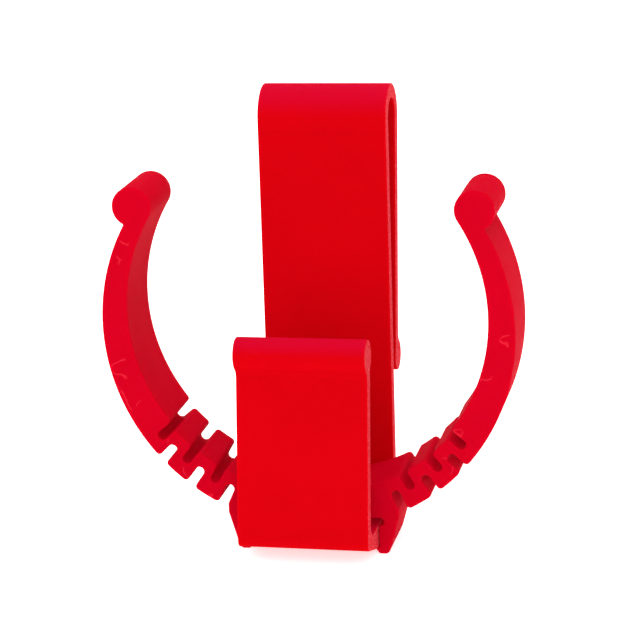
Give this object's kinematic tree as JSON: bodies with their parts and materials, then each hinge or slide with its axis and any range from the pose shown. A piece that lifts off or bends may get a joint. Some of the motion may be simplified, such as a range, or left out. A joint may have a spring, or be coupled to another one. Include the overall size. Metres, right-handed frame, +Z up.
{
  "type": "belt clip tool holder",
  "caption": "Printed belt clip with a tall back plate, a front pocket panel and an open round cradle whose two arms are carried on meander springs.",
  "frame": {"origin": "centre of the cradle's ring, at half the cradle's depth", "axes": "+X to the right across the arms, +Y back towards the belt, +Z up along the back plate"},
  "size_m": [0.0788, 0.0433, 0.0854],
  "materials": {
    "clip_plastic": "printed on its side: smooth satin faces, rough sparkling edges",
    "cradle_plastic": "printed lying down: satin faces with fine layer lines"
  },
  "bodies": {
    "root": {"back_plate": "clip_plastic", "hook_crown": "clip_plastic", "bottom_web": "clip_plastic", "cradle_base": "cradle_plastic"},
    "belt_leg": {"belt_leg": "clip_plastic"},
    "front_panel": {"front_panel": "clip_plastic"},
    "right_spring_1": {"right_spring_link_1": "cradle_plastic"},
    "right_spring_2": {"right_spring_link_2": "cradle_plastic"},
    "right_spring_3": {"right_spring_link_3": "cradle_plastic"},
    "right_spring_4": {"right_spring_link_4": "cradle_plastic"},
    "right_spring_5": {"right_spring_link_5": "cradle_plastic"},
    "right_arm": {"right_arm": "cradle_plastic"},
    "right_snap_leg": {"right_snap_leg": "cradle_plastic"},
    "left_spring_1": {"left_spring_link_1": "cradle_plastic"},
    "left_spring_2": {"left_spring_link_2": "cradle_plastic"},
    "left_spring_3": {"left_spring_link_3": "cradle_plastic"},
    "left_spring_4": {"left_spring_link_4": "cradle_plastic"},
    "left_spring_5": {"left_spring_link_5": "cradle_plastic"},
    "left_arm": {"left_arm": "cradle_plastic"},
    "left_snap_leg": {"left_snap_leg": "cradle_plastic"}
  },
  "joints": [
    {"name": "right_flexure_1", "type": "hinge", "parent": "root", "child": "right_spring_1", "pos_m": [0.0153, 0, -0.03281], "axis": [0, 1, 0], "range_deg": [-0.5, 2], "stiffness_Nm_per_rad": 2},
    {"name": "right_flexure_2", "type": "hinge", "parent": "right_spring_1", "child": "right_spring_2", "pos_m": [0.02008, 0, -0.03479], "axis": [0, 1, 0], "range_deg": [-0.5, 2], "stiffness_Nm_per_rad": 2},
    {"name": "right_flexure_3", "type": "hinge", "parent": "right_spring_2", "child": "right_spring_3", "pos_m": [0.02076, 0, -0.02965], "axis": [0, 1, 0], "range_deg": [-0.5, 2], "stiffness_Nm_per_rad": 2},
    {"name": "right_flexure_4", "type": "hinge", "parent": "right_spring_3", "child": "right_spring_4", "pos_m": [0.02573, 0, -0.03066], "axis": [0, 1, 0], "range_deg": [-0.5, 2], "stiffness_Nm_per_rad": 2},
    {"name": "right_flexure_5", "type": "hinge", "parent": "right_spring_4", "child": "right_spring_5", "pos_m": [0.0256, 0, -0.0256], "axis": [0, 1, 0], "range_deg": [-0.5, 2], "stiffness_Nm_per_rad": 2},
    {"name": "right_flexure_6", "type": "hinge", "parent": "right_spring_5", "child": "right_arm", "pos_m": [0.03053, 0, -0.02561], "axis": [0, 1, 0], "range_deg": [-0.5, 2], "stiffness_Nm_per_rad": 2},
    {"name": "left_flexure_1", "type": "hinge", "parent": "root", "child": "left_spring_1", "pos_m": [-0.0153, 0, -0.03281], "axis": [0, -1, 0], "range_deg": [-0.5, 2], "stiffness_Nm_per_rad": 2},
    {"name": "left_flexure_2", "type": "hinge", "parent": "left_spring_1", "child": "left_spring_2", "pos_m": [-0.02008, 0, -0.03479], "axis": [0, -1, 0], "range_deg": [-0.5, 2], "stiffness_Nm_per_rad": 2},
    {"name": "left_flexure_3", "type": "hinge", "parent": "left_spring_2", "child": "left_spring_3", "pos_m": [-0.02076, 0, -0.02965], "axis": [0, -1, 0], "range_deg": [-0.5, 2], "stiffness_Nm_per_rad": 2},
    {"name": "left_flexure_4", "type": "hinge", "parent": "left_spring_3", "child": "left_spring_4", "pos_m": [-0.02573, 0, -0.03066], "axis": [0, -1, 0], "range_deg": [-0.5, 2], "stiffness_Nm_per_rad": 2},
    {"name": "left_flexure_5", "type": "hinge", "parent": "left_spring_4", "child": "left_spring_5", "pos_m": [-0.0256, 0, -0.0256], "axis": [0, -1, 0], "range_deg": [-0.5, 2], "stiffness_Nm_per_rad": 2},
    {"name": "left_flexure_6", "type": "hinge", "parent": "left_spring_5", "child": "left_arm", "pos_m": [-0.03053, 0, -0.02561], "axis": [0, -1, 0], "range_deg": [-0.5, 2], "stiffness_Nm_per_rad": 2},
    {"name": "right_snap_leg_flex", "type": "hinge", "parent": "root", "child": "right_snap_leg", "pos_m": [0.015, 0, -0.04025], "axis": [0, -1, 0], "range_deg": [0, 7], "stiffness_Nm_per_rad": 3},
    {"name": "left_snap_leg_flex", "type": "hinge", "parent": "root", "child": "left_snap_leg", "pos_m": [-0.015, 0, -0.04025], "axis": [0, 1, 0], "range_deg": [0, 7], "stiffness_Nm_per_rad": 3},
    {"name": "front_panel_flex", "type": "hinge", "parent": "root", "child": "front_panel", "pos_m": [0, -0.01486, -0.03721], "axis": [1, 0, 0], "range_deg": [0, 6], "stiffness_Nm_per_rad": 6},
    {"name": "belt_leg_flex", "type": "hinge", "parent": "root", "child": "belt_leg", "pos_m": [0, 0.02, 0.03735], "axis": [1, 0, 0], "range_deg": [0, 6], "stiffness_Nm_per_rad": 4}
  ],
  "couplings": [
    {"joint": "right_flexure_1", "follows": "right_flexure_6", "ratio": 1},
    {"joint": "right_flexure_2", "follows": "right_flexure_6", "ratio": 1},
    {"joint": "right_flexure_3", "follows": "right_flexure_6", "ratio": 1},
    {"joint": "right_flexure_4", "follows": "right_flexure_6", "ratio": 1},
    {"joint": "right_flexure_5", "follows": "right_flexure_6", "ratio": 1},
    {"joint": "left_flexure_1", "follows": "left_flexure_6", "ratio": 1},
    {"joint": "left_flexure_2", "follows": "left_flexure_6", "ratio": 1},
    {"joint": "left_flexure_3", "follows": "left_flexure_6", "ratio": 1},
    {"joint": "left_flexure_4", "follows": "left_flexure_6", "ratio": 1},
    {"joint": "left_flexure_5", "follows": "left_flexure_6", "ratio": 1}
  ]
}
